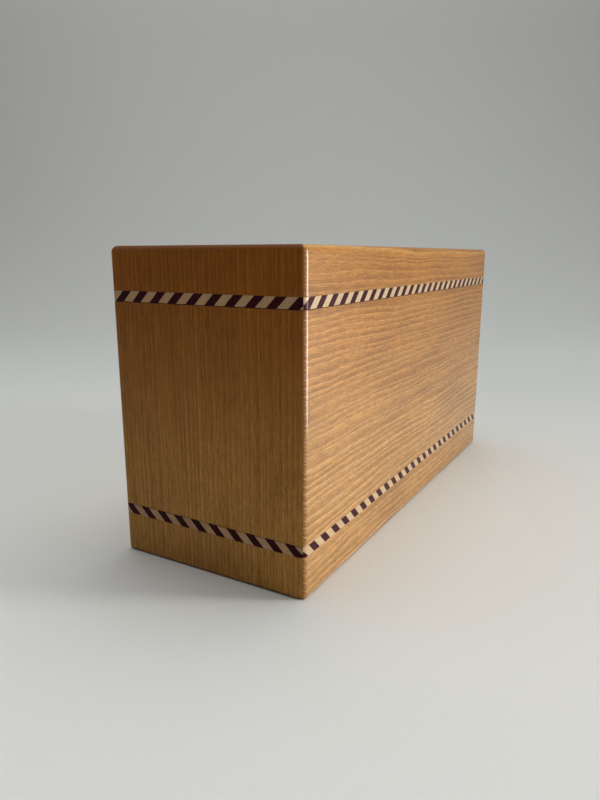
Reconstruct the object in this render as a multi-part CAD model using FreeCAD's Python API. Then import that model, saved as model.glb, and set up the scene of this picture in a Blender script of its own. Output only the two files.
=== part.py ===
import FreeCAD, Part
import math
import os

# Wooden puzzle box: a mitred case, a lid that slides off to the right, and a
# shallow drawer hidden behind the lower part of the left end. Two inlaid
# striped bands cover the seams. Steel pins in the walls lock lid and drawer.
#
# Frame: millimetres, origin on the floor under the middle of the box, X along
# the length, Y from the front face to the back, Z up.

# ---- Overall size ----
length = 185.0
width = 69.0
height = 100.0
wall = 9.5
upright_edge_radius = 2.25
top_edge_radius = 2.0
foot_edge_radius = 1.2

# ---- Inlaid bands ----
band_height = 3.2
band_depth = 3.2
band_centre = 15.0
stripe_pitch = 6.9
stripe_width = 3.4
stripe_lean = 3.2

# ---- Fits ----
seam_gap = 0.15
slide_gap = 0.2
stop_gap = 0.5
running_gap = 0.1
socket_gap = 0.4
mitre_gap = 0.15
expansion_gap = 0.3

# ---- Fixed panels of the case ----
base_recess = 1.5
base_thickness = 3.0
floor_lip = 3.25
floor_thickness = 4.0
housing_depth = 3.0
felt_thickness = 1.0
felt_margin = 0.3

# ---- Mitre splines ----
spline_thickness = 2.0
spline_cover = 1.6
spline_end_cover = 3.0

# ---- Lid ----
panel_body = 6.5
panel_tongue = 3.0
panel_tongue_cover = 2.5
guide_length = 50.0
guide_thickness = 6.0
guide_drop = 17.0
tongue_height = 4.0
tongue_reach = 4.0
tongue_rise = 1.5

# ---- Drawer ----
drawer_board = 5.0
drawer_foot_gap = 0.3
drawer_bottom_rise = 1.0
drawer_bottom_thickness = 2.0
drawer_bottom_housing = 2.0
drawer_engagement = 35.6
peg_radius = 2.5
peg_reach = 3.4

# ---- Sliding pins and their bushes ----
pin_radius = 1.5
pin_collar_radius = 2.5
pin_collar_length = 2.0
pin_skin = 1.5
bush_radius = 3.2
bush_length = 2.0
socket_depth = 4.0
lid_pin_drop = 6.4
drawer_pin_inset = 23.0

# ---- Magnets and screws ----
magnet_radius = 2.0
magnet_depth = 2.5
screw_radius = 1.3
screw_head_radius = 2.6
screw_head_length = 1.6
screw_length = 10.5
screw_slot_width = 0.6
screw_slot_depth = 0.7
screw_spread = 17.0

# ---- Levels and faces worked out from the sizes above ----
half_length = length / 2
half_width = width / 2
inner_x = half_length - wall
inner_y = half_width - wall

lower_band_bottom = band_centre - band_height / 2
lower_band_top = band_centre + band_height / 2
upper_band_bottom = height - lower_band_top
upper_band_top = height - lower_band_bottom

lid_bottom = upper_band_bottom
case_top = lid_bottom - seam_gap
left_wall_bottom = lower_band_top + seam_gap

base_bottom = base_recess
base_top = base_bottom + base_thickness
floor_bottom = left_wall_bottom + floor_lip
floor_top = floor_bottom + floor_thickness

panel_bottom = height - panel_body
panel_tongue_top = height - panel_tongue_cover
panel_tongue_bottom = panel_tongue_top - panel_tongue

guide_left = -inner_x + stop_gap
guide_right = guide_left + guide_length
guide_bottom = case_top - guide_drop
guide_face = inner_y - slide_gap
guide_inner_face = guide_face - guide_thickness
tongue_bottom = guide_bottom + tongue_rise
tongue_top = tongue_bottom + tongue_height
lid_travel = inner_x - stop_gap - guide_right

drawer_half_width = inner_y - slide_gap
tray_half_width = drawer_half_width - drawer_board
drawer_foot = base_top + slide_gap
drawer_rim = lower_band_top - slide_gap
drawer_end = inner_x - slide_gap * 2
tray_end = drawer_end - drawer_board
drawer_bottom_bottom = drawer_foot + drawer_bottom_rise
drawer_bottom_top = drawer_bottom_bottom + drawer_bottom_thickness
drawer_travel = drawer_end + inner_x - drawer_engagement
peg_x = tray_end - drawer_travel - slide_gap - peg_radius
peg_bottom = drawer_rim - peg_reach

socket_radius = pin_radius + socket_gap
pin_bore_radius = pin_collar_radius + running_gap
pin_bore_depth = wall - pin_skin
pin_back = inner_y + pin_bore_depth - running_gap
pin_tip = inner_y + slide_gap
pin_travel = pin_back - pin_collar_length - (inner_y + bush_length) - running_gap
lid_pin_x = (guide_left + guide_right) / 2
lid_pin_z = case_top - lid_pin_drop
drawer_pin_x = inner_x - drawer_pin_inset
drawer_pin_z = drawer_bottom_top + socket_radius

X_AXIS = FreeCAD.Vector(1, 0, 0)
Y_AXIS = FreeCAD.Vector(0, 1, 0)
Z_AXIS = FreeCAD.Vector(0, 0, 1)


# ---- Plain shapes ----
def block(low, high):
    """Return the box between two corners."""
    low, high = FreeCAD.Vector(*low), FreeCAD.Vector(*high)
    size = high - low
    return Part.makeBox(size.x, size.y, size.z, low)


def rod(radius, start, direction, reach):
    """Return a cylinder from a start point along a direction."""
    return Part.makeCylinder(radius, reach, FreeCAD.Vector(*start), direction)


def prism(points, lift):
    """Return a flat outline extruded along the lift vector."""
    corners = [FreeCAD.Vector(*point) for point in points]
    outline = Part.makePolygon(corners + corners[:1])
    return Part.Face(outline).extrude(FreeCAD.Vector(*lift))


def mirrored_in_y(shape):
    """Return the shape mirrored from the front half to the back half."""
    return shape.mirror(FreeCAD.Vector(0, 0, 0), Y_AXIS)


def turned(shape, angle):
    """Return the shape turned about the box's upright middle line."""
    copy = shape.copy()
    copy.rotate(FreeCAD.Vector(0, 0, 0), Z_AXIS, angle)
    return copy


def edges_at(shape, chosen):
    """Return the straight edges whose two ends pass the given test."""
    found = []
    for edge in shape.Edges:
        ends = [vertex.Point for vertex in edge.Vertexes]
        if len(ends) == 2 and chosen(ends[0], ends[1]):
            found.append(edge)
    return found


def rounded_form():
    """Return the whole outside of the closed box, with its eased edges."""
    form = block((-half_length, -half_width, 0), (half_length, half_width, height))
    upright = edges_at(form, lambda a, b: abs(a.z - b.z) > height / 2)
    form = form.makeFillet(upright_edge_radius, upright)
    top = [edge for edge in form.Edges if edge.BoundBox.ZMin > height - 0.01]
    form = form.makeFillet(top_edge_radius, top)
    foot = [edge for edge in form.Edges if edge.BoundBox.ZMax < 0.01]
    return form.makeFillet(foot_edge_radius, foot)


# ---- The four sides: each board is mitred at both ends ----
SIDE_TURN = {"front": 0, "right": 90, "back": 180, "left": 270}


def side_run(side):
    """Return a side's outer length and its distance from the middle line."""
    if side in ("front", "back"):
        return length, half_width
    return width, half_length


def mitred_board(side, thickness, bottom, top, end_gap=0.0):
    """Return one side's board of a given thickness, between two levels."""
    run, reach = side_run(side)
    outer = run / 2 - end_gap
    inner = outer - thickness
    outline = [(-outer, -reach, bottom), (outer, -reach, bottom),
               (inner, -reach + thickness, bottom), (-inner, -reach + thickness, bottom)]
    return turned(prism(outline, (0, 0, top - bottom)), SIDE_TURN[side])


def stripes(side, bottom, lean, start, end_gap=0.0):
    """Return one side's inlay cut into its dark blocks and its light blocks."""
    run, reach = side_run(side)
    strip = mitred_board(side, band_depth, bottom, bottom + band_height, end_gap).common(form)
    blocks = {"dark": [], "light": []}
    first = -run / 2 + start - 2 * stripe_pitch
    for index in range(int(run / stripe_pitch) + 5):
        dark_left = first + index * stripe_pitch
        dark_right = dark_left + stripe_width
        light_right = dark_left + stripe_pitch
        for tone, left, right in (("dark", dark_left, dark_right),
                                  ("light", dark_right, light_right)):
            outline = [(left, -reach, bottom), (right, -reach, bottom),
                       (right + lean, -reach, bottom + band_height),
                       (left + lean, -reach, bottom + band_height)]
            cutter = turned(prism(outline, (0, band_depth, 0)), SIDE_TURN[side])
            blocks[tone] += strip.common(cutter).Solids
    return blocks


def joined_blocks(parts):
    """Return dark and light compounds gathered from several sides."""
    return {tone: Part.makeCompound([solid for part in parts for solid in part[tone]])
            for tone in ("dark", "light")}


def spline(sign_x, sign_y, bottom, top):
    """Return the loose key across one corner's mitre."""
    spline_width = (wall - 2 * spline_cover) * math.sqrt(2) - spline_thickness
    key = block((-spline_width / 2, -spline_thickness / 2, bottom),
                (spline_width / 2, spline_thickness / 2, top))
    key.rotate(FreeCAD.Vector(0, 0, 0), Z_AXIS, -45 * sign_x * sign_y)
    key.translate(FreeCAD.Vector(sign_x * (half_length - wall / 2),
                                 sign_y * (half_width - wall / 2), 0))
    return key


def corner_splines(bottom, top):
    """Return the four corners' loose keys between two levels."""
    return Part.makeCompound([spline(sign_x, sign_y, bottom, top)
                              for sign_x in (-1, 1) for sign_y in (-1, 1)])


# ---- Sliding pins, drawn for a bore in the back wall ----
def pin_at(x, z):
    """Return a pin at rest, drawn back into its bore."""
    collar = rod(pin_collar_radius, (x, pin_back, z), -Y_AXIS, pin_collar_length)
    shank = rod(pin_radius, (x, pin_back, z), -Y_AXIS, pin_back - pin_tip)
    return collar.fuse(shank).removeSplitter()


def bush_at(x, z):
    """Return the brass bush that keeps a pin in its bore."""
    ring = rod(bush_radius, (x, inner_y, z), Y_AXIS, bush_length)
    return ring.cut(rod(pin_radius + running_gap, (x, inner_y, z), Y_AXIS, bush_length))


def pin_bore_at(x, z):
    """Return the stepped bore for a pin and its bush."""
    bore = rod(pin_bore_radius, (x, inner_y, z), Y_AXIS, pin_bore_depth)
    return bore.fuse(rod(bush_radius, (x, inner_y, z), Y_AXIS, bush_length))


def socket_at(x, z):
    """Return the blind hole that a pin enters to lock lid or drawer."""
    return rod(socket_radius, (x, inner_y - slide_gap, z), -Y_AXIS, socket_depth)


# ---- Magnets ----
def magnet_pair(x, y, z, direction):
    """Return two disc magnets, one each side of the middle line."""
    return Part.makeCompound([rod(magnet_radius, (x, side * y, z), direction, magnet_depth)
                              for side in (-1, 1)])


form = rounded_form()
magnet_y = tray_half_width / 2
lid_magnet_x = -(inner_x + half_length - band_depth) / 2
drawer_magnet_z = (drawer_bottom_top + drawer_rim) / 2 - magnet_radius / 2
case_lid_magnets = magnet_pair(lid_magnet_x, magnet_y, case_top, -Z_AXIS)
case_drawer_magnets = magnet_pair(inner_x, magnet_y, drawer_magnet_z, X_AXIS)
lid_magnets = magnet_pair(lid_magnet_x, magnet_y, lid_bottom, Z_AXIS)
drawer_magnets = magnet_pair(drawer_end, magnet_y, drawer_magnet_z, -X_AXIS)

parts = {}

# ---- Case ----
base_panel = block((-inner_x + slide_gap, -inner_y - housing_depth, base_bottom),
                   (inner_x + housing_depth, inner_y + housing_depth, base_top))
case_floor = block((-inner_x - housing_depth, -inner_y - housing_depth, floor_bottom),
                   (inner_x + housing_depth, inner_y + housing_depth, floor_top))
case_splines = corner_splines(floor_top + spline_end_cover, case_top - spline_end_cover)
guide_groove = block((-inner_x, inner_y, tongue_bottom - slide_gap),
                     (inner_x, inner_y + tongue_reach, tongue_top + slide_gap))
lid_pin_bore = pin_bore_at(lid_pin_x, lid_pin_z)
drawer_pin_bore = pin_bore_at(drawer_pin_x, drawer_pin_z)
housings = Part.makeCompound([base_panel, case_floor, case_splines])


def case_wall(side, bottom, cutters):
    """Return one wall of the case with its grooves, bores and band groove."""
    board = mitred_board(side, wall, bottom, case_top)
    if bottom < lower_band_bottom:
        cutters = cutters + [mitred_board(side, band_depth, lower_band_bottom, lower_band_top)]
    return board.cut([housings] + cutters).common(form)


parts["case_front_wall"] = case_wall("front", 0, [mirrored_in_y(guide_groove),
                                                  mirrored_in_y(lid_pin_bore)])
parts["case_back_wall"] = case_wall("back", 0, [guide_groove, lid_pin_bore, drawer_pin_bore])
parts["case_right_wall"] = case_wall("right", 0, [case_drawer_magnets])
parts["case_left_wall"] = case_wall("left", left_wall_bottom, [case_lid_magnets])
parts["base_panel"] = base_panel
parts["case_mitre_splines"] = case_splines
parts["case_magnets"] = Part.makeCompound([case_lid_magnets, case_drawer_magnets])

pegs = Part.makeCompound([rod(peg_radius, (peg_x, side * tray_half_width / 2, floor_top),
                              -Z_AXIS, floor_top - peg_bottom) for side in (-1, 1)])
parts["case_floor"] = case_floor.cut(pegs)
parts["drawer_stop_pegs"] = pegs
parts["compartment_felt"] = block(
    (-inner_x + felt_margin, -inner_y + felt_margin, floor_top),
    (inner_x - felt_margin, inner_y - felt_margin, floor_top + felt_thickness))

lid_bush = bush_at(lid_pin_x, lid_pin_z)
parts["pin_bushes"] = Part.makeCompound([mirrored_in_y(lid_bush), lid_bush,
                                         bush_at(drawer_pin_x, drawer_pin_z)])

# The lower band leans the other way from the upper one, and each side's strip
# starts at its own point, because the strips meet at the corners uncut.
lower_start = {"front": 6.0, "right": 3.4, "back": 2.7, "left": 3.7}
upper_start = {"front": 6.4, "right": 3.6, "back": 3.0, "left": 1.9}
case_band = joined_blocks([stripes(side, lower_band_bottom, -stripe_lean, lower_start[side])
                           for side in ("front", "right", "back")])
parts["case_band_purpleheart"] = case_band["dark"]
parts["case_band_maple"] = case_band["light"]

# ---- Lid ----
panel = block((-inner_x + expansion_gap, -inner_y + expansion_gap, panel_bottom),
              (inner_x - expansion_gap, inner_y - expansion_gap, height))
panel_edge = block((-inner_x - housing_depth, -inner_y - housing_depth, panel_tongue_bottom),
                   (inner_x + housing_depth, inner_y + housing_depth, panel_tongue_top))
lid_splines = corner_splines(upper_band_top + spline_end_cover / 2, height - spline_end_cover)


def screw_at(x, z):
    """Return a slotted wood screw, driven outwards through the back guide."""
    tip = (x, guide_inner_face, z)
    shank = rod(screw_radius, tip, Y_AXIS, screw_length)
    head = Part.makeCone(screw_head_radius, screw_radius, screw_head_length,
                         FreeCAD.Vector(*tip), Y_AXIS)
    return shank.fuse(head).removeSplitter()


def screw_slot_at(x, z):
    """Return the driver slot across a screw's head."""
    return block((x - screw_head_radius, guide_inner_face, z - screw_slot_width / 2),
                 (x + screw_head_radius, guide_inner_face + screw_slot_depth,
                  z + screw_slot_width / 2))


screw_z = (lid_bottom + panel_bottom) / 2
screw_places = [lid_pin_x - screw_spread, lid_pin_x + screw_spread]
screw_blanks = [screw_at(x, screw_z) for x in screw_places]
screws = [blank.cut(screw_slot_at(x, screw_z)) for x, blank in zip(screw_places, screw_blanks)]
screw_holes = Part.makeCompound(screw_blanks)

guide_board = block((guide_left, guide_inner_face, guide_bottom),
                    (guide_right, guide_face, panel_bottom))
guide_pad = block((guide_left, guide_face, lid_bottom), (guide_right, inner_y, panel_bottom))
guide_tongue = block((guide_left, guide_face, tongue_bottom),
                     (guide_right, guide_face + tongue_reach - slide_gap, tongue_top))
guide = guide_board.fuse([guide_pad, guide_tongue]).removeSplitter()
guide = guide.cut([socket_at(lid_pin_x, lid_pin_z), screw_holes])


def lid_rail(side, cutters):
    """Return one side of the lid with its band rabbet and panel groove."""
    board = mitred_board(side, wall, lid_bottom, height)
    rabbet = mitred_board(side, band_depth, lid_bottom, upper_band_top)
    return board.cut([rabbet, panel_edge, lid_splines] + cutters).common(form)


parts["lid_front_rail"] = lid_rail("front", [mirrored_in_y(screw_holes)])
parts["lid_back_rail"] = lid_rail("back", [screw_holes])
parts["lid_left_rail"] = lid_rail("left", [lid_magnets])
parts["lid_right_rail"] = lid_rail("right", [])
parts["lid_panel"] = panel.fuse(panel_edge).removeSplitter()
parts["lid_mitre_splines"] = lid_splines
parts["lid_front_guide"] = mirrored_in_y(guide)
parts["lid_back_guide"] = guide
parts["guide_screws"] = Part.makeCompound(screws + [mirrored_in_y(screw) for screw in screws])
parts["lid_magnets"] = lid_magnets

lid_band = joined_blocks([stripes(side, upper_band_bottom, stripe_lean, upper_start[side])
                          for side in ("front", "right", "back", "left")])
parts["lid_band_purpleheart"] = lid_band["dark"]
parts["lid_band_maple"] = lid_band["light"]

# ---- Drawer ----
tray_bottom = block(
    (-inner_x - drawer_bottom_housing, -tray_half_width - drawer_bottom_housing,
     drawer_bottom_bottom),
    (tray_end + drawer_bottom_housing, tray_half_width + drawer_bottom_housing,
     drawer_bottom_top))
drawer_side = block((-inner_x, tray_half_width, drawer_foot),
                    (drawer_end, drawer_half_width, drawer_rim)).cut(tray_bottom)
drawer_front = mitred_board("left", wall, drawer_foot_gap, lower_band_top, mitre_gap)
drawer_front = drawer_front.cut([
    mitred_board("left", band_depth, lower_band_bottom, lower_band_top, mitre_gap),
    tray_bottom])

parts["drawer_front"] = drawer_front.common(form)
parts["drawer_near_side"] = mirrored_in_y(drawer_side)
parts["drawer_far_side"] = drawer_side.cut(socket_at(drawer_pin_x, drawer_pin_z))
parts["drawer_back"] = block((tray_end, -tray_half_width, drawer_foot),
                             (drawer_end, tray_half_width, drawer_rim)
                             ).cut([tray_bottom, drawer_magnets])
parts["drawer_bottom"] = tray_bottom
parts["drawer_felt"] = block(
    (-inner_x + felt_margin, -tray_half_width + felt_margin, drawer_bottom_top),
    (tray_end - felt_margin, tray_half_width - felt_margin, drawer_bottom_top + felt_thickness))
parts["drawer_magnets"] = drawer_magnets

drawer_band = stripes("left", lower_band_bottom, -stripe_lean, lower_start["left"], mitre_gap)
parts["drawer_band_purpleheart"] = Part.makeCompound(drawer_band["dark"])
parts["drawer_band_maple"] = Part.makeCompound(drawer_band["light"])

# ---- Pins ----
parts["back_lid_pin"] = pin_at(lid_pin_x, lid_pin_z)
parts["front_lid_pin"] = mirrored_in_y(parts["back_lid_pin"])
parts["drawer_pin"] = pin_at(drawer_pin_x, drawer_pin_z)

os.makedirs("parts", exist_ok=True)
for name, shape in parts.items():
    shape.exportStep(os.path.join("parts", name + ".step"))

print("lid travel %.2f, drawer travel %.2f, pin travel %.2f"
      % (lid_travel, drawer_travel, pin_travel))
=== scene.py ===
"""A wooden puzzle box with a sliding lid, a hidden drawer and three locking pins.

The box is built from solid boards mitred at the corners, with a band of slanted
purpleheart and maple blocks let in near the foot and another under the lid.
"""

import logging
import math
from dataclasses import dataclass, field
from enum import Enum
from typing import Any, Callable, Sequence

import bmesh
import bpy
from mathutils import Matrix, Vector


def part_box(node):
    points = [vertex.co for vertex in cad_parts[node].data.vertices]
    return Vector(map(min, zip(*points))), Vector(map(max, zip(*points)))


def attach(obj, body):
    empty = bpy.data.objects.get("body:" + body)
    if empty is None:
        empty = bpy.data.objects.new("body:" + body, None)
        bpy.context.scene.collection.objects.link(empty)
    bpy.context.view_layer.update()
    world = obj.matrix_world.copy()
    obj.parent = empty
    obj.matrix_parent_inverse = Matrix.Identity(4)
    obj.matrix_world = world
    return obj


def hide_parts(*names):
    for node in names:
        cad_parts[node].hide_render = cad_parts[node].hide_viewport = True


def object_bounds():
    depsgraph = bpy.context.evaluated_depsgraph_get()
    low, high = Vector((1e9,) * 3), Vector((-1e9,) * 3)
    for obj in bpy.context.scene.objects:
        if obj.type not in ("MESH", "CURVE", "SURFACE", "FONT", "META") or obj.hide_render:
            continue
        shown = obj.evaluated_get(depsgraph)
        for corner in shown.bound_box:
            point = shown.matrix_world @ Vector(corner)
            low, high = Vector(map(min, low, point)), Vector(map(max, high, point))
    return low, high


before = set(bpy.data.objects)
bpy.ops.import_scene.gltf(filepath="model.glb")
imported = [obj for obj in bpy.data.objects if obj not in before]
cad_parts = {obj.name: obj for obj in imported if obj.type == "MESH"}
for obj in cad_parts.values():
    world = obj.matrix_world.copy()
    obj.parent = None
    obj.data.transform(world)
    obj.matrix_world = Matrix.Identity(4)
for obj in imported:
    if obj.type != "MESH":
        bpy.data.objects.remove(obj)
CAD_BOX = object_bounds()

LOG = logging.getLogger("puzzle_box")
MM = 0.001
Colour = tuple[float, float, float]
Outline = list[tuple[float, float]]
MERGE_DISTANCE = 0.002 * MM
FLAT_ANGLE = math.radians(0.2)
SHARP_ANGLE = math.radians(32)
EASED_ANGLE = math.radians(40)
LATHE_STEPS = 40

# How often each wood pattern repeats along the fibres and twice across them, per millimetre.
SLOW_BEND = (0.012, 0.045, 0.045)
QUICK_BEND = (0.07, 0.25, 0.25)
RING_FIBRES = (0.22, 3.4, 3.4)
CLOUDS = (0.02, 0.05, 0.05)
SHIMMER = (0.35, 0.35, 0.35)
EARLY_PATCHES = (0.03, 0.12, 0.12)
PORE_CELLS = (0.42, 4.6, 4.6)
CLOSE_FIBRES = (0.22, 4.2, 4.2)
BROAD_TONE = (0.03, 0.35, 0.35)
FLECK_CELLS = (0.6, 5.0, 5.0)


class Grain(Enum):
    """The direction the fibres run in a board."""

    ALONG_X = "XYZ"
    ALONG_Y = "YXZ"
    UPRIGHT = "ZYX"


class Body(Enum):
    """The moving parts of the box."""

    CASE = "case"
    LID = "lid"
    DRAWER = "drawer"
    FRONT_PIN = "front_pin"
    BACK_PIN = "back_pin"
    BASE_PIN = "base_pin"


class NodeSheet:
    """A material's node tree, built one node at a time."""

    def __init__(self, name: str) -> None:
        """Start an empty material.

        Args:
            name: The material's name.
        """
        self.material = bpy.data.materials.new(name)
        self.material.use_nodes = True
        self.tree = self.material.node_tree
        self.tree.nodes.clear()

    def add(self, kind: str, inputs: dict[str | int, Any] | None = None, **settings: Any) -> bpy.types.Node:
        """Add a node.

        Args:
            kind: The node's type name without its ShaderNode prefix.
            inputs: Values for its sockets, or the output sockets that feed them.
            **settings: The node's own properties.

        Returns:
            The new node.
        """
        node = self.tree.nodes.new("ShaderNode" + kind)
        for key, value in settings.items():
            setattr(node, key, value)
        for key, value in (inputs or {}).items():
            if isinstance(value, bpy.types.NodeSocket):
                self.tree.links.new(value, node.inputs[key])
            else:
                node.inputs[key].default_value = value
        return node

    def maths(self, operation: str, *values: Any) -> bpy.types.NodeSocket:
        """Add a Math node.

        Args:
            operation: The operation's name.
            *values: Its inputs in order.

        Returns:
            The result's socket.
        """
        return self.add("Math", dict(enumerate(values)), operation=operation).outputs[0]

    def ramp(self, value: bpy.types.NodeSocket, low: float, high: float, to_low: float = 0.0,
             to_high: float = 1.0) -> bpy.types.NodeSocket:
        """Turn a value between low and high smoothly into one between to_low and to_high.

        Args:
            value: The socket that is read.
            low: The reading that gives to_low.
            high: The reading that gives to_high.
            to_low: The result at and below low.
            to_high: The result at and above high.

        Returns:
            The result's socket.
        """
        inputs = {"Value": value, "From Min": low, "From Max": high, "To Min": to_low, "To Max": to_high}
        return self.add("MapRange", inputs, interpolation_type="SMOOTHSTEP").outputs["Result"]

    def mix(self, share: Any, first: Any, second: Any) -> bpy.types.NodeSocket:
        """Mix two colours.

        Args:
            share: How much of the second colour, a number or a socket.
            first: The first colour, four numbers or a socket.
            second: The second colour, four numbers or a socket.

        Returns:
            The mixed colour's socket.
        """
        return self.add("Mix", {0: share, 6: first, 7: second}, data_type="RGBA").outputs[2]

    def noise(self, vector: Any, scale: float, detail: float = 2.0,
              rough: float = 0.5) -> bpy.types.NodeSocket:
        """Add a noise texture.

        Args:
            vector: The coordinates it is read at.
            scale: How fine it is.
            detail: Its number of octaves.
            rough: How strong the finer octaves are.

        Returns:
            The noise value's socket.
        """
        return self.add("TexNoise", {"Vector": vector, "Scale": scale, "Detail": detail,
                                     "Roughness": rough}).outputs["Fac"]

    def place(self, grain: Grain, shift: Sequence[float] = (0.0, 0.0, 0.0)) -> bpy.types.NodeSocket:
        """Object coordinates in millimetres, with the grain turned onto the first axis.

        Args:
            grain: The direction of the fibres.
            shift: An offset in millimetres, so that each board is cut from its own place.

        Returns:
            The coordinate's socket.
        """
        where = self.add("TexCoord").outputs["Object"]
        mapped = self.add("Mapping", {"Vector": where, "Location": shift, "Scale": (1000.0,) * 3})
        parts = self.add("SeparateXYZ", {0: mapped.outputs[0]})
        ordered = {i: parts.outputs[axis] for i, axis in enumerate(grain.value)}
        return self.add("CombineXYZ", ordered).outputs[0]

    def stretch(self, vector: bpy.types.NodeSocket, scale: Sequence[float]) -> bpy.types.NodeSocket:
        """Multiply a coordinate by three factors."""
        return self.add("VectorMath", {0: vector, 1: tuple(scale)}, operation="MULTIPLY").outputs[0]

    def surface(self, inputs: dict[str | int, Any]) -> bpy.types.Material:
        """Add the shader and the output.

        Args:
            inputs: The shader's values and the sockets that feed it.

        Returns:
            The finished material.
        """
        shader = self.add("BsdfPrincipled", inputs)
        self.add("OutputMaterial", {"Surface": shader.outputs[0]})
        return self.material


def rgba(colour: Colour) -> tuple[float, float, float, float]:
    """A colour with full opacity."""
    return (*colour, 1.0)


@dataclass(frozen=True)
class RingWood:
    """A ring-porous board: growth rings, and rows of long open pores in the early wood.

    The rings' centre is given across the grain, in millimetres, in the order of the two
    axes that follow the grain's own. Between two heights above the table, which are in
    millimetres too, the tone changes from the painted floor glow tint, lighter and paler near
    the foot as a painted reflection of the pale floor, to the painted top shade tint, darker
    near the top as painted shade.
    """

    name: str
    early: Colour
    late: Colour
    pore: Colour
    centre: tuple[float, float]
    # Painted light: the foot tint lightens and pales the tone near the table as a painted floor reflection,
    # and the head tint darkens it near the top as painted shade.
    painted_floor_glow_tint: Colour
    painted_top_shade_tint: Colour
    foot_height: float = 10.0
    head_height: float = 95.0
    ring: float = 2.0
    wander: float = 2.6
    waver: float = 0.9
    line_colour: Colour = (0.82, 0.55, 0.27)
    pore_depth: float = 0.55
    line: float = 0.3
    roughness: float = 0.45
    gloss: float = 0.22
    coat: float = 0.45
    coat_roughness: float = 0.12

    def material(self, grain: Grain, shift: Sequence[float] = (0.0, 0.0, 0.0)) -> bpy.types.Material:
        """Build the finish for boards whose fibres run one way.

        Args:
            grain: The direction of the fibres.
            shift: An offset in millimetres for the board's place in the log.

        Returns:
            The material.
        """
        s = NodeSheet(self.name)
        place = s.place(grain, shift)
        count = self.rings(s, place)
        uneven = s.add("TexNoise", {"W": count, "Scale": 0.45, "Detail": 1.0},
                       noise_dimensions="1D").outputs["Fac"]
        ring = s.maths("FRACT", s.maths("MULTIPLY_ADD", uneven, 1.6, count))
        early = s.maths("MULTIPLY", s.ramp(ring, 0.0, 0.1), s.ramp(ring, 0.35, 0.75, 1.0, 0.0))
        line = s.maths("MULTIPLY", s.ramp(ring, 0.86, 0.94), s.ramp(ring, 0.97, 1.0, 1.0, 0.0))
        fibre = s.noise(s.stretch(place, RING_FIBRES), 1.0, 3.0, 0.65)
        pores = self.pores(s, place, early)

        patch = s.ramp(s.noise(s.stretch(place, EARLY_PATCHES), 1.0, 2.0), 0.35, 0.65, 0.3, 1.0)
        tone = s.mix(s.maths("MULTIPLY", early, patch), rgba(self.late), rgba(self.early))
        tone = s.mix(s.maths("MULTIPLY", line, self.line), tone, rgba(self.line_colour))
        # Painted light: lighter and paler towards the foot as a painted floor reflection, darker towards
        # the top as painted shade.
        tone = s.add("VectorMath", {0: tone, 1: self.painted_height_light(s)}, operation="MULTIPLY").outputs[0]
        tone = s.add("VectorMath", {0: tone, "Scale": self.lightness(s, place, fibre)},
                     operation="SCALE").outputs[0]
        tone = s.mix(s.maths("MULTIPLY", pores, self.pore_depth), tone, rgba(self.pore))
        tone = s.mix(self.end_grain(s, count, grain), tone, rgba(self.pore))

        relief = s.maths("MULTIPLY_ADD", fibre, 0.25, s.maths("SUBTRACT", 1.0, pores))
        bump = s.add("Bump", {"Height": relief, "Strength": 0.5, "Distance": 0.03 * MM})
        rough = s.maths("MULTIPLY_ADD", fibre, 0.12, self.roughness - 0.06)
        return s.surface({
            "Base Color": tone, "Roughness": rough, "Normal": bump.outputs[0], "IOR": 1.5,
            "Specular IOR Level": self.gloss, "Coat Weight": self.coat,
            "Coat Roughness": self.coat_roughness, "Coat IOR": 1.5,
        })

    def rings(self, s: NodeSheet, place: bpy.types.NodeSocket) -> bpy.types.NodeSocket:
        """Count the growth rings outwards from the log's centre.

        Args:
            s: The material's nodes.
            place: The coordinates in millimetres, fibres first.

        Returns:
            The socket of the ring count, with its fraction.
        """
        axes = s.add("SeparateXYZ", {0: place}).outputs
        slow = s.noise(s.stretch(place, SLOW_BEND), 1.0, 2.0)
        quick = s.noise(s.stretch(place, QUICK_BEND), 1.0, 2.0)
        across = s.maths("SUBTRACT", axes[1], self.centre[0])
        up = s.maths("SUBTRACT", axes[2], self.centre[1])
        radius = s.maths("SQRT", s.maths("ADD", s.maths("MULTIPLY", across, across),
                                         s.maths("MULTIPLY", up, up)))
        bent = s.maths("ADD", s.maths("MULTIPLY_ADD", slow, 2.0 * self.wander, radius),
                       s.maths("MULTIPLY", quick, self.waver))
        return s.maths("DIVIDE", bent, self.ring)

    def pores(self, s: NodeSheet, place: bpy.types.NodeSocket,
              early: bpy.types.NodeSocket) -> bpy.types.NodeSocket:
        """Scatter long pores, most of them in the early wood.

        Args:
            s: The material's nodes.
            place: The coordinates in millimetres, fibres first.
            early: How much of the early wood there is at a point.

        Returns:
            The socket that is 1 in a pore and 0 outside.
        """
        cells = s.add("TexVoronoi", {"Vector": s.stretch(place, PORE_CELLS), "Scale": 1.0}, feature="F1")
        pick = s.add("SeparateXYZ", {0: cells.outputs["Color"]}).outputs[0]
        here = s.maths("LESS_THAN", pick, s.ramp(early, 0.0, 0.8, 0.3, 0.85))
        return s.maths("MULTIPLY", here, s.ramp(cells.outputs["Distance"], 0.22, 0.46, 1.0, 0.0))

    def painted_height_light(self, s: NodeSheet) -> bpy.types.NodeSocket:
        """Blend the painted floor glow tint and the painted top shade tint by the height above the table:
        painted light, lighter and paler near the foot, darker near the top.

        Args:
            s: The material's nodes.

        Returns:
            The tint's socket.
        """
        height = s.add("SeparateXYZ", {0: s.add("TexCoord").outputs["Object"]}).outputs[2]
        share = s.ramp(height, self.foot_height * MM, self.head_height * MM)
        return s.mix(share, rgba(self.painted_floor_glow_tint), rgba(self.painted_top_shade_tint))

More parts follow.
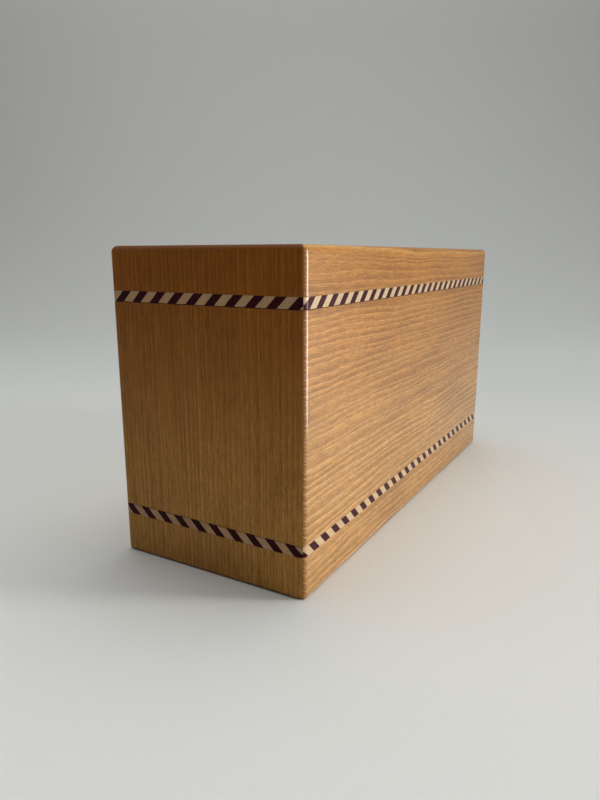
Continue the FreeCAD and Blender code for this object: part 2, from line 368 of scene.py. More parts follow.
    def lightness(self, s: NodeSheet, place: bpy.types.NodeSocket,
                  fibre: bpy.types.NodeSocket) -> bpy.types.NodeSocket:
        """Vary the lightness by fibre, by cloud and by shimmer.

        Args:
            s: The material's nodes.
            place: The coordinates in millimetres, fibres first.
            fibre: The fibre pattern.

        Returns:
            The factor's socket.
        """
        cloud = s.noise(s.stretch(place, CLOUDS), 1.0, 2.0)
        shimmer = s.noise(s.stretch(place, SHIMMER), 1.0, 2.0)
        return s.maths("ADD", s.ramp(fibre, 0.3, 0.7, 0.76, 1.20),
                       s.maths("ADD", s.ramp(cloud, 0.3, 0.7, -0.07, 0.07),
                               s.ramp(shimmer, 0.3, 0.7, -0.04, 0.04)))

    def end_grain(self, s: NodeSheet, count: bpy.types.NodeSocket, grain: Grain) -> bpy.types.NodeSocket:
        """Find the cut ends of the board, which are darker, with a tick at each ring.

        Args:
            s: The material's nodes.
            count: The ring count.
            grain: The direction of the fibres.

        Returns:
            The socket of how dark the end is.
        """
        facing = s.add("SeparateXYZ", {0: s.add("TexCoord").outputs["Normal"]})
        ends = s.ramp(s.maths("ABSOLUTE", facing.outputs[grain.value[0]]), 0.12, 0.6)
        ticks = s.maths("FRACT", s.maths("MULTIPLY", count, 2.0))
        return s.maths("MULTIPLY", ends, s.ramp(s.maths("PINGPONG", ticks, 0.5), 0.1, 0.4, 0.2, 0.75))


@dataclass(frozen=True)
class PlainWood:
    """A close-grained wood with fine flecks and little ring pattern."""

    name: str
    light: Colour
    dark: Colour
    fleck: float = 0.25
    plies: float = 0.0
    roughness: float = 0.4
    gloss: float = 0.25
    coat: float = 0.3

    def material(self, grain: Grain, shift: Sequence[float] = (0.0, 0.0, 0.0)) -> bpy.types.Material:
        """Build the finish for pieces whose fibres run one way.

        Args:
            grain: The direction of the fibres.
            shift: An offset in millimetres for the piece's place in the log.

        Returns:
            The material.
        """
        s = NodeSheet(self.name)
        place = s.place(grain, shift)
        fibre = s.noise(s.stretch(place, CLOSE_FIBRES), 1.0, 3.0, 0.6)
        broad = s.noise(s.stretch(place, BROAD_TONE), 1.0, 2.0)
        cells = s.add("TexVoronoi", {"Vector": s.stretch(place, FLECK_CELLS), "Scale": 1.0})
        flecks = s.ramp(cells.outputs["Distance"], 0.1, 0.3, self.fleck, 0.0)
        blend = s.maths("ADD", s.ramp(fibre, 0.3, 0.7, 0.0, 0.55), s.ramp(broad, 0.35, 0.65, 0.0, 0.45))
        tone = s.mix(blend, rgba(self.light), rgba(self.dark))
        tone = s.mix(flecks, tone, rgba(tuple(0.45 * c for c in self.dark)))
        if self.plies:
            height = s.add("SeparateXYZ", {0: s.add("TexCoord").outputs["Object"]}).outputs[2]
            layer = s.maths("FRACT", s.maths("DIVIDE", height, 2.0 * self.plies * MM))
            glue = s.ramp(layer, 0.46, 0.54, 0.0, 0.35)
            tone = s.mix(glue, tone, rgba(tuple(0.55 * c for c in self.dark)))
        bump = s.add("Bump", {"Height": fibre, "Strength": 0.35, "Distance": 0.02 * MM})
        return s.surface({
            "Base Color": tone, "Roughness": self.roughness, "Normal": bump.outputs[0],
            "Coat Weight": self.coat, "Coat Roughness": 0.14, "IOR": 1.5, "Specular IOR Level": self.gloss,
        })


@dataclass(frozen=True)
class MetalFinish:
    """A turned or plated metal with fine tool marks and slight tarnish."""

    name: str
    colour: Colour
    tarnish: Colour
    roughness: float
    marks: float = 0.3

    def material(self) -> bpy.types.Material:
        """Build the finish.

        Returns:
            The material.
        """
        s = NodeSheet(self.name)
        place = s.place(Grain.ALONG_X)
        marks = s.noise(s.stretch(place, (9.0, 1.2, 9.0)), 1.0, 2.0)
        spots = s.noise(s.stretch(place, (0.5, 0.5, 0.5)), 1.0, 4.0, 0.6)
        tone = s.mix(s.ramp(spots, 0.45, 0.75, 0.0, 0.6), rgba(self.colour), rgba(self.tarnish))
        rough = s.ramp(spots, 0.3, 0.7, self.roughness, self.roughness + 0.12)
        bump = s.add("Bump", {"Height": marks, "Strength": self.marks, "Distance": 0.01 * MM})
        return s.surface({"Base Color": tone, "Metallic": 1.0, "Roughness": rough,
                          "Normal": bump.outputs[0]})


@dataclass(frozen=True)
class FeltFinish:
    """Pressed wool felt, matt, with crossing fibres and small lumps."""

    name: str
    colour: Colour
    loose: Colour

    def material(self) -> bpy.types.Material:
        """Build the finish.

        Returns:
            The material.
        """
        s = NodeSheet(self.name)
        place = s.place(Grain.ALONG_X)
        hairs = s.noise(s.stretch(place, (1.5, 7.0, 3.0)), 1.0, 3.0, 0.7)
        cross = s.noise(s.stretch(place, (7.0, 1.5, 3.0)), 1.0, 3.0, 0.7)
        lumps = s.noise(s.stretch(place, (0.7, 0.7, 0.7)), 1.0, 3.0, 0.6)
        web = s.maths("MAXIMUM", hairs, cross)
        tone = s.mix(s.ramp(web, 0.5, 0.8), rgba(self.colour), rgba(self.loose))
        tone = s.mix(s.ramp(lumps, 0.4, 0.7, 0.0, 0.3), tone, rgba(tuple(0.6 * c for c in self.colour)))
        height = s.maths("MULTIPLY_ADD", web, 0.6, lumps)
        bump = s.add("Bump", {"Height": height, "Strength": 0.7, "Distance": 0.25 * MM})
        return s.surface({"Base Color": tone, "Roughness": 0.95, "Normal": bump.outputs[0],
                          "Sheen Weight": 0.35, "Sheen Roughness": 0.5})


# Both oaks carry painted light in their foot and head tints: paler near the table as a painted floor
# reflection, darker near the top as painted shade.
LONG_BOARD = RingWood("Oak long grain", early=(0.48, 0.218, 0.045), late=(0.62, 0.308, 0.078),
                      pore=(0.26, 0.09, 0.018), centre=(14.0, -62.0), ring=2.1, line=0.5,
                      painted_floor_glow_tint=(1.13, 1.20, 1.46), painted_top_shade_tint=(0.99, 0.84, 0.55))
# A darker, less glossy copy of the oak for the two short sides, which paints shade on them; the upright
# grain is the wood's own.
OAK_IN_PAINTED_SHADE = RingWood("Oak upright grain in painted shade", early=(0.295, 0.112, 0.0135), late=(0.345, 0.136, 0.018),
                     pore=(0.18, 0.06, 0.007), centre=(-320.0, -130.0), ring=1.7, wander=1.0,
                     pore_depth=0.5, line=0.10, gloss=0.08, coat=0.04,
                     painted_floor_glow_tint=(1.28, 1.54, 2.6), painted_top_shade_tint=(0.77, 0.60, 0.38))
PURPLEHEART = PlainWood("Purpleheart", light=(0.082, 0.006, 0.016), dark=(0.050, 0.003, 0.009),
                        gloss=0.08, coat=0.10)
# A darker, less glossy copy of the purpleheart for the blocks on the short sides, which paints shade on
# them.
PURPLEHEART_IN_PAINTED_SHADE = PlainWood("Purpleheart in painted shade", light=(0.040, 0.002, 0.007),
                            dark=(0.024, 0.001, 0.004), gloss=0.05, coat=0.04)
MAPLE = PlainWood("Maple", light=(0.84, 0.63, 0.38), dark=(0.77, 0.54, 0.29), fleck=0.12)
# A darker, less glossy copy of the maple for the blocks on the short sides, which paints shade on them.
MAPLE_IN_PAINTED_SHADE = PlainWood("Maple in painted shade", light=(0.50, 0.31, 0.165), dark=(0.43, 0.25, 0.125), fleck=0.12,
                      gloss=0.08, coat=0.06)
PLYWOOD = PlainWood("Birch plywood", light=(0.66, 0.49, 0.29), dark=(0.55, 0.37, 0.2), plies=0.75,
                    roughness=0.55, coat=0.1)
FELT = FeltFinish("Green felt", colour=(0.035, 0.075, 0.045), loose=(0.075, 0.13, 0.085))
PIN_STEEL = MetalFinish("Turned steel", (0.60, 0.60, 0.61), (0.42, 0.40, 0.38), 0.28)
BRASS = MetalFinish("Turned brass", (0.78, 0.57, 0.26), (0.46, 0.30, 0.12), 0.25)
NICKEL = MetalFinish("Nickel plate", (0.72, 0.70, 0.66), (0.55, 0.52, 0.48), 0.16, marks=0.1)


def on_short_side(point: Vector) -> bool:
    """Whether a point lies nearer a short side of the box than a long one."""
    half = (CAD_BOX[1] - CAD_BOX[0]) / 2
    return half.x - abs(point.x) < half.y - abs(point.y)


@dataclass
class Piece:
    """One finished piece of the box, cut to the shape of its CAD node.

    Attributes:
        name: The maker's name for it.
        node: The CAD node it stands for.
        slot: The record's material slot; not used.
        body: The moving part it belongs to.
        finish: Its material.
        ease: The width of the eased edges, in millimetres.
        shade_painted_finish: The darker, less glossy copy of its material that paints shade on its parts on
            the two short sides, where it differs.
    """

    name: str
    node: str
    slot: str
    body: Body
    finish: bpy.types.Material
    ease: float = 0.12
    shade_painted_finish: bpy.types.Material | None = None

    def build(self) -> bpy.types.Object:
        """Copy the node's shape, merge it into clean faces and ease its edges.

        Returns:
            The finished piece.
        """
        bm = bmesh.new()
        bm.from_mesh(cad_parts[self.node].data)
        bmesh.ops.remove_doubles(bm, verts=bm.verts, dist=MERGE_DISTANCE)
        bmesh.ops.dissolve_limit(bm, angle_limit=FLAT_ANGLE, verts=bm.verts, edges=bm.edges)
        bmesh.ops.recalc_face_normals(bm, faces=bm.faces)
        return self.finish_piece(bm)

    def finish_piece(self, bm: bmesh.types.BMesh) -> bpy.types.Object:
        """Turn a mesh being worked on into the piece on its body.

        Args:
            bm: The shape, in metres, which is used up.

        Returns:
            The finished piece.
        """
        for edge in bm.edges:
            edge.smooth = len(edge.link_faces) == 2 and edge.calc_face_angle(0.0) < SHARP_ANGLE
        for face in bm.faces:
            face.smooth = True
            # Faces on the two short sides take the darker copy of the finish, which paints shade there.
            if self.shade_painted_finish:
                face.material_index = int(on_short_side(face.calc_center_median()))
        mesh = bpy.data.meshes.new(self.name)
        bm.to_mesh(mesh)
        bm.free()
        mesh.materials.append(self.finish)
        if self.shade_painted_finish:
            mesh.materials.append(self.shade_painted_finish)
        piece = bpy.data.objects.new(self.name, mesh)
        bpy.context.scene.collection.objects.link(piece)
        if self.ease:
            bevel = piece.modifiers.new("Eased edges", "BEVEL")
            bevel.limit_method = "ANGLE"
            bevel.angle_limit = EASED_ANGLE
            bevel.width = self.ease * MM
            bevel.segments = 2
            bevel.use_clamp_overlap = False
        smooth = piece.modifiers.new("Even shading", "WEIGHTED_NORMAL")
        smooth.keep_sharp = True
        smooth.weight = 80
        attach(piece, self.body.value)
        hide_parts(self.node)
        LOG.info("%s: %d faces on %s", self.name, len(mesh.polygons), self.body.value)
        return piece


def rounded_end(length: float, radius: float, rounding: float) -> Outline:
    """A quarter circle in 15-degree steps that rounds the far end of an outline.

    Args:
        length: How far along the axis it ends, in metres.
        radius: How far out it starts, in metres.
        rounding: The quarter circle's own radius, in metres.

    Returns:
        The quarter circle's points.
    """
    return [(length - rounding + rounding * math.sin(a), radius - rounding + rounding * math.cos(a))
            for a in (math.radians(15.0 * i) for i in range(7))]


def disc_outline(length: float, radius: float) -> Outline:
    """A plain disc with chamfered rims, as points along and out from its axis.

    Args:
        length: The blank's length in metres.
        radius: The blank's radius in metres.

    Returns:
        The outline's points.
    """
    rim = 0.15 * MM
    return [(0.0, 0.0), (0.0, radius - rim), (rim, radius), (length - rim, radius),
            (length, radius - rim), (length, 0.0)]


def bush_outline(length: float, radius: float) -> Outline:
    """A bush with a chamfered mouth, as a ring of points round its wall.

    Args:
        length: The blank's length in metres.
        radius: The blank's radius in metres.

    Returns:
        The outline's points.
    """
    rim, bore = 0.15 * MM, 1.6 * MM
    half = [(0.0, bore + rim), (0.0, radius - rim), (rim, radius), (length - rim, radius),
            (length, radius - rim), (length, bore + rim), (length - rim, bore), (rim, bore)]
    return half + half[:1]


def peg_outline(length: float, radius: float) -> Outline:
    """A round peg with a domed end.

    Args:
        length: The blank's length in metres.
        radius: The blank's radius in metres.

    Returns:
        The outline's points.
    """
    return [(0.0, 0.0), (0.0, radius), *rounded_end(length, radius, 0.8 * MM), (length, 0.0)]


def pin_outline(length: float, radius: float) -> Outline:
    """A locking pin: a collar with a turned groove, then a shank with a rounded tip.

    Args:
        length: The blank's length in metres.
        radius: The blank's radius in metres.

    Returns:
        The outline's points.
    """
    rim, collar, shank, tip = 0.2 * MM, 2.0 * MM, 1.5 * MM, 0.6 * MM
    groove_start, groove, groove_end = 0.8 * MM, 1.0 * MM, 1.2 * MM
    return [(0.0, 0.0), (0.0, radius - rim), (rim, radius), (groove_start, radius),
            (groove, radius - rim), (groove_end, radius), (collar - rim, radius),
            (collar, radius - rim), (collar, shank), *rounded_end(length, shank, tip), (length, 0.0)]


def lumps(node: str) -> list[tuple[Vector, Vector]]:
    """Find the separate solids in a CAD node.

    Args:
        node: The node's name.

    Returns:
        Each solid's lowest and highest corner.
    """
    bm = bmesh.new()
    bm.from_mesh(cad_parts[node].data)
    bmesh.ops.remove_doubles(bm, verts=bm.verts, dist=MERGE_DISTANCE)
    found, left = [], set(bm.verts)
    while left:
        reach = [left.pop()]
        for vert in reach:
            near = {edge.other_vert(vert) for edge in vert.link_edges} & left
            left -= near
            reach.extend(near)
        found.append(tuple(Vector(pick(v.co[i] for v in reach) for i in range(3)) for pick in (min, max)))
    bm.free()
    return sorted(found, key=lambda box: tuple(box[0]))


@dataclass
class TurnedPiece(Piece):
    """One or more solids turned on a lathe, each in the place of a CAD solid.

    Attributes:
        outline: Gives the outline of a blank with a certain length and radius.
        backwards: Whether the outline runs down the axis and not up it.
    """

    ease: float = 0.0
    outline: Callable[[float, float], Outline] = disc_outline
    backwards: bool = False

    def build(self) -> bpy.types.Object:
        """Turn each solid round its own axis.

        Returns:
            The finished piece.
        """
        bm = bmesh.new()
        for low, high in lumps(self.node):
            size, centre = high - low, (low + high) / 2
            axis = min(range(3), key=lambda i: abs(size[(i + 1) % 3] - size[(i + 2) % 3]))
            along = Vector([float(i == axis) for i in range(3)]) * (-1 if self.backwards else 1)
            side = Vector([float(i == (axis + 1) % 3) for i in range(3)])
            start = centre - along * size[axis] / 2
            points = [start + along * a + side * r
                      for a, r in self.outline(size[axis], size[(axis + 1) % 3] / 2)]
            verts = [bm.verts.new(point) for point in points]
            edges = [bm.edges.new(pair) for pair in zip(verts, verts[1:])]
            bmesh.ops.spin(bm, geom=verts + edges, cent=centre, axis=along, angle=2 * math.pi,
                           steps=LATHE_STEPS, use_merge=True)
        bmesh.ops.remove_doubles(bm, verts=bm.verts, dist=MERGE_DISTANCE)
        bmesh.ops.recalc_face_normals(bm, faces=bm.faces)
        return self.finish_piece(bm)


@dataclass
class FeltSheet:
    """A loose sheet of felt, cut to fit and laid in place.

    Attributes:
        name: The maker's name for it.
        node: The CAD node it stands for.
        body: The moving part it lies in.
        finish: Its material.
        under: The name of the piece it lies on; not used.
        ease: The width of its rounded edge, in millimetres.
        hollow: How far its top dips between the lumps, in millimetres.
        columns: The number of faces along it.
        rows: The number of faces across it.
    """

    name: str
    node: str
    body: Body
    finish: bpy.types.Material
    under: str
    ease: float = 0.25
    hollow: float = 0.03
    columns: int = 96
    rows: int = 28

    def build(self) -> bpy.types.Object:
        """Make the sheet with a softly rounded edge and a slightly uneven top.

        Returns:
            The finished sheet.
        """
        low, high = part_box(self.node)
        size = high - low
        bm = bmesh.new()
        bmesh.ops.create_grid(bm, x_segments=self.columns, y_segments=self.rows, size=0.5)
        bmesh.ops.scale(bm, vec=(size.x, size.y, 1.0), verts=bm.verts)
        out = bmesh.ops.extrude_face_region(bm, geom=bm.faces[:])
        top = [v for v in out["geom"] if isinstance(v, bmesh.types.BMVert)]
        bmesh.ops.translate(bm, vec=(0.0, 0.0, size.z), verts=top)
        bmesh.ops.translate(bm, vec=(low + high) / 2 - Vector((0, 0, size.z / 2)), verts=bm.verts)
        for vert in top:
            wave = math.sin(vert.co.x * 410.0) * math.cos(vert.co.y * 530.0 + vert.co.x * 150.0)
            vert.co.z -= self.hollow * MM * (1.0 + wave)
        bmesh.ops.recalc_face_normals(bm, faces=bm.faces)
        piece = Piece(self.name, self.node, "felt", self.body, self.finish, self.ease)
        sheet = piece.finish_piece(bm)
        return sheet


@dataclass
class Case:
    """The four mitred walls, the floors and what is let into them, with its eases in millimetres."""

    long_oak: bpy.types.Material
    # The oak, purpleheart and maple for the short sides are darker, less glossy copies that paint shade.
    painted_shade_oak: bpy.types.Material
    back_oak: bpy.types.Material
    far_side_shaded_oak: bpy.types.Material
    purpleheart: bpy.types.Material
    maple: bpy.types.Material
    purpleheart_in_shade: bpy.types.Material
    maple_in_shade: bpy.types.Material
    plywood: bpy.types.Material
    felt: bpy.types.Material
    brass: bpy.types.Material
    nickel: bpy.types.Material
    key_ease: float = 0.05
    block_ease: float = 0.04
    pieces: list[bpy.types.Object] = field(default_factory=list)

    def build(self) -> None:
        """Make every piece of the case."""
        body = Body.CASE
        for piece in (
            Piece("front_wall", "case_front_wall", "oak_board", body, self.long_oak),
            Piece("back_wall", "case_back_wall", "oak_board", body, self.back_oak),
            Piece("left_wall", "case_left_wall", "oak_board", body, self.painted_shade_oak),
            Piece("right_wall", "case_right_wall", "oak_board", body, self.far_side_shaded_oak),
            Piece("compartment_floor", "case_floor", "pale_plywood", body, self.plywood),
            Piece("base_board", "base_panel", "pale_plywood", body, self.plywood),
            Piece("mitre_keys", "case_mitre_splines", "pale_plywood", body, self.plywood, self.key_ease),
            Piece("lower_dark_blocks", "case_band_purpleheart", "purpleheart", body, self.purpleheart,
                  self.block_ease, self.purpleheart_in_shade),
            Piece("lower_light_blocks", "case_band_maple", "maple", body, self.maple, self.block_ease,
                  self.maple_in_shade),
            TurnedPiece("catch_magnets", "case_magnets", "magnet_nickel", body, self.nickel),
            TurnedPiece("bushes", "pin_bushes", "brass", body, self.brass, outline=bush_outline),
            TurnedPiece("stop_pegs", "drawer_stop_pegs", "maple", body, self.maple, outline=peg_outline,
                        backwards=True),
        ):
            self.pieces.append(piece.build())
        self.pieces.append(FeltSheet("compartment_lining", "compartment_felt", body, self.felt,
                                     "compartment_floor").build())


@dataclass
class Lid:
    """The sliding lid with its panel, rails and guides, and its eases in millimetres."""

    long_oak: bpy.types.Material
    # The oak, purpleheart and maple for the short sides are darker, less glossy copies that paint shade.
    painted_shade_oak: bpy.types.Material
    back_oak: bpy.types.Material
    far_side_shaded_oak: bpy.types.Material
    top_oak: bpy.types.Material
    purpleheart: bpy.types.Material
    maple: bpy.types.Material
    purpleheart_in_shade: bpy.types.Material
    maple_in_shade: bpy.types.Material
    plywood: bpy.types.Material
    brass: bpy.types.Material
    nickel: bpy.types.Material
    key_ease: float = 0.05
    block_ease: float = 0.04
    guide_ease: float = 0.4
    screw_ease: float = 0.08
    pieces: list[bpy.types.Object] = field(default_factory=list)

    def build(self) -> None:
        """Make every piece of the lid."""
        body = Body.LID
        for piece in (
            Piece("front_rail", "lid_front_rail", "oak_board", body, self.long_oak),
            Piece("back_rail", "lid_back_rail", "oak_board", body, self.back_oak),
            Piece("left_rail", "lid_left_rail", "oak_board", body, self.painted_shade_oak),
            Piece("right_rail", "lid_right_rail", "oak_board", body, self.far_side_shaded_oak),
            Piece("top_board", "lid_panel", "oak_board", body, self.top_oak),
            Piece("lid_mitre_keys", "lid_mitre_splines", "pale_plywood", body, self.plywood, self.key_ease),
            Piece("upper_dark_blocks", "lid_band_purpleheart", "purpleheart", body, self.purpleheart,
                  self.block_ease, self.purpleheart_in_shade),
            Piece("upper_light_blocks", "lid_band_maple", "maple", body, self.maple, self.block_ease,
                  self.maple_in_shade),
            Piece("front_guide", "lid_front_guide", "maple", body, self.maple, self.guide_ease),
            Piece("back_guide", "lid_back_guide", "maple", body, self.maple, self.guide_ease),
            Piece("guide_fixings", "guide_screws", "brass", body, self.brass, self.screw_ease),
            TurnedPiece("lid_catch_magnets", "lid_magnets", "magnet_nickel", body, self.nickel),
        ):
            self.pieces.append(piece.build())


@dataclass
class Drawer:
    """The hidden drawer in the foot of the case, with its eases in millimetres."""

    # The oak, purpleheart and maple for the short sides are darker, less glossy copies that paint shade.
    painted_shade_oak: bpy.types.Material
    purpleheart: bpy.types.Material
    maple: bpy.types.Material
    purpleheart_in_shade: bpy.types.Material
    maple_in_shade: bpy.types.Material
    plywood: bpy.types.Material
    felt: bpy.types.Material
    nickel: bpy.types.Material
    block_ease: float = 0.04
    side_ease: float = 0.3
    pieces: list[bpy.types.Object] = field(default_factory=list)

    def build(self) -> None:
        """Make every piece of the drawer."""
        body = Body.DRAWER
        for piece in (
            Piece("drawer_face", "drawer_front", "oak_board", body, self.painted_shade_oak),
            Piece("drawer_dark_blocks", "drawer_band_purpleheart", "purpleheart", body, self.purpleheart,
                  self.block_ease, self.purpleheart_in_shade),
            Piece("drawer_light_blocks", "drawer_band_maple", "maple", body, self.maple, self.block_ease,
                  self.maple_in_shade),
            Piece("near_side", "drawer_near_side", "maple", body, self.maple, self.side_ease),
            Piece("far_side", "drawer_far_side", "maple", body, self.maple, self.side_ease),
            Piece("drawer_tail", "drawer_back", "maple", body, self.maple, self.side_ease),
            Piece("tray_bottom", "drawer_bottom", "pale_plywood", body, self.plywood),
            TurnedPiece("drawer_catch_magnets", "drawer_magnets", "magnet_nickel", body, self.nickel),
        ):
            self.pieces.append(piece.build())
        self.pieces.append(FeltSheet("drawer_lining", "drawer_felt", body, self.felt,
                                     "tray_bottom").build())


@dataclass
class Locks:
    """The three turned pins that hold the lid and the drawer."""

    steel: bpy.types.Material
    pieces: list[bpy.types.Object] = field(default_factory=list)

    def build(self) -> None:
        """Make the pins."""
        for piece in (
            TurnedPiece("front_locking_pin", "front_lid_pin", "pin_steel", Body.FRONT_PIN, self.steel,
                        outline=pin_outline),
            TurnedPiece("back_locking_pin", "back_lid_pin", "pin_steel", Body.BACK_PIN, self.steel,
                        outline=pin_outline, backwards=True),
            TurnedPiece("drawer_locking_pin", "drawer_pin", "pin_steel", Body.BASE_PIN, self.steel,
                        outline=pin_outline, backwards=True),
        ):
            self.pieces.append(piece.build())


@dataclass
class Studio:
    """The pale paper sweep, the lights, the room and the camera.

    Attributes:
        flat_reach: How far the flat paper goes behind the box, in metres.
        curve: The radius of its curve.
        wall_height: The height of its upright part.
        half_width: Half its width.
        front_reach: How far it goes in front of the box.
        heading: The direction the backdrop lies in, in radians from +X.
        room_span: How far off the backdrop's direction the room is darkest and lightest.
        room_glow: The room's strength there, in the same order.
        room_seen: The strength that the camera sees past the paper.
        lens: The camera's focal length in millimetres.
        camera_place: Where it stands, in metres.
        camera_ahead: The direction it looks in.
    """

    flat_reach: float = 0.40
    curve: float = 0.45
    wall_height: float = 1.3
    half_width: float = 6.0
    front_reach: float = 6.0
    heading: float = math.radians(29.9)
    room_span: tuple[float, float] = (-0.35, 0.85)
    room_glow: tuple[float, float] = (0.035, 1.67)
    room_seen: float = 0.42
    lens: float = 28.16
    camera_place: tuple[float, float, float] = (-0.23372, -0.11442, 0.09710)
    camera_ahead: tuple[float, float, float] = (0.8446, 0.4859, -0.2250)

    def paper(self) -> bpy.types.Material:
        """The paper's finish: matt, warm white, with a faint tooth.

        Returns:
            The material.
        """
        s = NodeSheet("Pale paper")
        place = s.place(Grain.ALONG_X)
        tooth = s.noise(s.stretch(place, (1.4, 1.4, 1.4)), 1.0, 3.0)
        tone = s.mix(s.ramp(tooth, 0.3, 0.7), rgba((0.79, 0.80, 0.775)), rgba((0.81, 0.82, 0.795)))
        bump = s.add("Bump", {"Height": tooth, "Strength": 0.1, "Distance": 0.05 * MM})
        return s.surface({"Base Color": tone, "Roughness": 0.75, "Normal": bump.outputs[0],
                          "Specular IOR Level": 0.0})

    def sweep(self) -> bpy.types.Object:
        """Build the floor that curves up into a backdrop.

        Returns:
            The sweep, which isn't part of the box.
        """
        bm = bmesh.new()
        start = bm.verts.new((-self.front_reach, 0.0, 0.0))
        flat = bmesh.ops.extrude_vert_indiv(bm, verts=[start])
        tip = flat["verts"][0]
        bmesh.ops.translate(bm, vec=(self.front_reach + self.flat_reach, 0, 0), verts=[tip])
        bmesh.ops.spin(bm, geom=[tip], cent=(self.flat_reach, 0.0, self.curve), axis=(0.0, 1.0, 0.0),
                       dvec=(0.0, 0.0, 0.0), angle=-math.pi / 2, steps=40)
        end = max(bm.verts, key=lambda v: (v.co.z, v.co.x))
        rise = bmesh.ops.extrude_vert_indiv(bm, verts=[end])
        bmesh.ops.translate(bm, vec=(0, 0, self.wall_height - self.curve), verts=rise["verts"])
        bmesh.ops.translate(bm, vec=(0, -self.half_width, 0), verts=bm.verts)
        side = bmesh.ops.extrude_edge_only(bm, edges=bm.edges[:])
        moved = [v for v in side["geom"] if isinstance(v, bmesh.types.BMVert)]
        bmesh.ops.translate(bm, vec=(0, 2 * self.half_width, 0), verts=moved)
        bmesh.ops.rotate(bm, cent=(0, 0, 0), matrix=Matrix.Rotation(self.heading, 3, "Z"), verts=bm.verts)
        bmesh.ops.recalc_face_normals(bm, faces=bm.faces)
        lowest = min(bm.faces, key=lambda f: f.calc_center_median().z)
        if lowest.normal.z < 0:
            bmesh.ops.reverse_faces(bm, faces=bm.faces[:])
        for face in bm.faces:
            face.smooth = True
        mesh = bpy.data.meshes.new("paper_sweep")
        bm.to_mesh(mesh)
        bm.free()
        mesh.materials.append(self.paper())
        sweep = bpy.data.objects.new("paper_sweep", mesh)
        bpy.context.scene.collection.objects.link(sweep)
        return sweep

    def lamp(self, name: str, heading: float, lift: float, reach: float, size: tuple[float, float],
             power: float, colour: Colour, aim: tuple[float, float, float] = (0.0, 0.0, 0.05),
             spread: float = 180.0, gloss_only: bool = False) -> bpy.types.Object:
        """Add a soft rectangular light.

        Args:
            name: The light's name.
            heading: Its direction from the point it is aimed at, in degrees from +X.
            lift: Its height above the horizon, in degrees.
            reach: Its distance in metres.
            size: Its width and height in metres.
            power: Its power in watts.
            colour: Its colour.
            aim: The point it faces.
            spread: The angle that its grid lets through, in degrees.
            gloss_only: Whether it shows only as a reflection in the lacquer.

        Returns:
            The light.
        """
        data = bpy.data.lights.new(name, "AREA")
        data.shape = "RECTANGLE"
        data.size, data.size_y = size
        data.energy = power
        data.color = colour
        data.spread = math.radians(spread)
        lamp = bpy.data.objects.new(name, data)
        turn, rise = math.radians(heading), math.radians(lift)
        away = Vector((math.cos(turn) * math.cos(rise), math.sin(turn) * math.cos(rise), math.sin(rise)))
        lamp.location = Vector(aim) + away * reach
        lamp.rotation_mode = "QUATERNION"
        lamp.rotation_quaternion = (-away).to_track_quat("-Z", "Y")
        lamp.visible_camera = False
        lamp.visible_diffuse = not gloss_only
        bpy.context.scene.collection.objects.link(lamp)
        return lamp

    def surroundings(self) -> None:
        """A dim grey room, a little lighter towards the backdrop."""
        world = bpy.data.worlds.new("Room")
        world.use_nodes = True
        tree = world.node_tree
        tree.nodes.clear()
        where = tree.nodes.new("ShaderNodeTexCoord")
        turn = tree.nodes.new("ShaderNodeVectorMath")
        turn.operation = "DOT_PRODUCT"
        turn.inputs[1].default_value = (math.cos(self.heading), math.sin(self.heading), 0.25)
        spread = tree.nodes.new("ShaderNodeMapRange")
        spread.inputs["From Min"].default_value, spread.inputs["From Max"].default_value = self.room_span
        spread.inputs["To Min"].default_value, spread.inputs["To Max"].default_value = self.room_glow
        glow = tree.nodes.new("ShaderNodeBackground")
        out = tree.nodes.new("ShaderNodeOutputWorld")
        path = tree.nodes.new("ShaderNodeLightPath")
        seen = tree.nodes.new("ShaderNodeMix")
        seen.inputs[3].default_value = self.room_seen
        tree.links.new(where.outputs["Generated"], turn.inputs[0])
        tree.links.new(turn.outputs["Value"], spread.inputs["Value"])
        tree.links.new(path.outputs["Is Camera Ray"], seen.inputs[0])
        tree.links.new(spread.outputs["Result"], seen.inputs[2])
        tree.links.new(seen.outputs[0], glow.inputs["Strength"])
        tree.links.new(glow.outputs[0], out.inputs[0])
        bpy.context.scene.world = world

    def camera(self) -> bpy.types.Object:
        """Set the camera low and close, near one upright corner.

        Returns:
            The camera.
        """
        data = bpy.data.cameras.new("Camera")
        data.lens = self.lens
        data.sensor_width = 36.0
        data.clip_start = 0.005
        camera = bpy.data.objects.new("Camera", data)
        camera.location = self.camera_place
        camera.rotation_mode = "QUATERNION"
        camera.rotation_quaternion = Vector(self.camera_ahead).to_track_quat("-Z", "Y")
        bpy.context.scene.collection.objects.link(camera)
        bpy.context.scene.camera = camera
        return camera

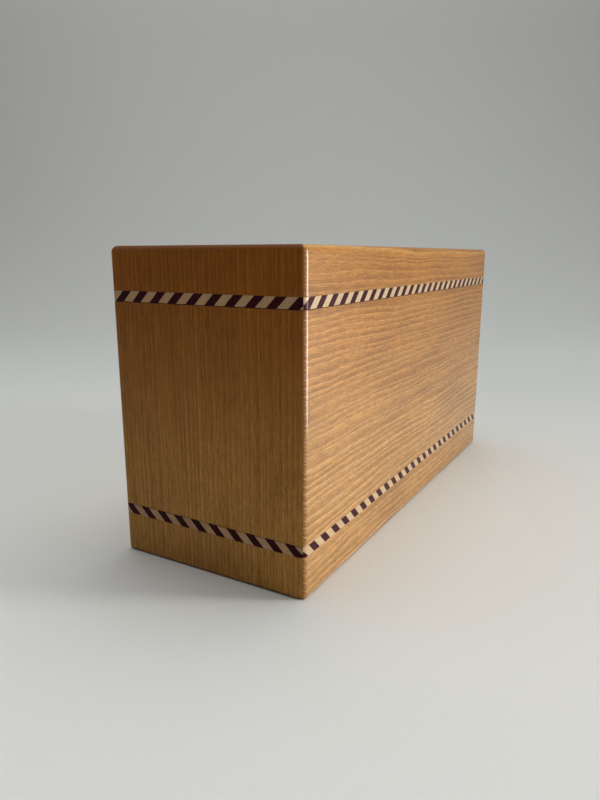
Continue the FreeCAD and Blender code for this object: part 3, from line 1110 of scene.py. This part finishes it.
    def build(self) -> None:
        """Set up the paper, the lights, the room and the camera."""
        self.sweep()
        self.lamp("Key light", heading=-57.4, lift=15.0, reach=0.95, size=(0.17, 0.56), power=0.50,
                  colour=(1.0, 0.98, 0.95), aim=(-0.17, -0.035, 0.05), spread=52.0)
        self.lamp("Edge strip", heading=-57.4, lift=4.0, reach=0.14, size=(0.055, 0.10), power=0.32,
                  colour=(1.0, 0.97, 0.95), aim=(-0.0925, -0.0345, 0.052), gloss_only=True)
        self.lamp("Top light", heading=-30.0, lift=82.0, reach=1.4, size=(1.0, 1.0), power=2.45,
                  colour=(0.97, 1.0, 1.0), spread=110.0)
        self.lamp("Backdrop light", heading=185.0, lift=35.0, reach=1.0, size=(1.2, 0.5), power=0.82,
                  colour=(1.0, 0.99, 0.97), aim=(0.74, 0.42, 0.55), spread=90.0)
        self.surroundings()
        self.camera()
        bpy.context.scene.view_settings.view_transform = "Standard"


def main() -> None:
    """Build the box and its studio, and report each piece."""
    logging.basicConfig(level=logging.INFO, format="%(message)s")
    oak_front = LONG_BOARD.material(Grain.ALONG_X)
    oak_back = LONG_BOARD.material(Grain.ALONG_X, (37.0, 3.0, 11.0))
    oak_top = LONG_BOARD.material(Grain.ALONG_X, (90.0, 25.0, -70.0))
    # The short sides' oak and band woods are darker, less glossy copies that paint shade.
    shaded_left_oak = OAK_IN_PAINTED_SHADE.material(Grain.UPRIGHT)
    shaded_right_oak = OAK_IN_PAINTED_SHADE.material(Grain.UPRIGHT, (9.0, 21.0, 40.0))
    bands = (PURPLEHEART.material(Grain.ALONG_Y), MAPLE.material(Grain.ALONG_X),
             PURPLEHEART_IN_PAINTED_SHADE.material(Grain.UPRIGHT), MAPLE_IN_PAINTED_SHADE.material(Grain.UPRIGHT))
    plywood = PLYWOOD.material(Grain.ALONG_X)
    felt, brass, nickel = FELT.material(), BRASS.material(), NICKEL.material()

    case = Case(oak_front, shaded_left_oak, oak_back, shaded_right_oak, *bands, plywood, felt, brass, nickel)
    lid = Lid(oak_front, shaded_left_oak, oak_back, shaded_right_oak, oak_top, *bands, plywood, brass, nickel)
    drawer = Drawer(shaded_left_oak, *bands, plywood, felt, nickel)
    locks = Locks(PIN_STEEL.material())
    for assembly in (case, lid, drawer, locks):
        assembly.build()
        LOG.info("%s: %d pieces", type(assembly).__name__, len(assembly.pieces))
    Studio().build()


if __name__ == "__main__":
    main()
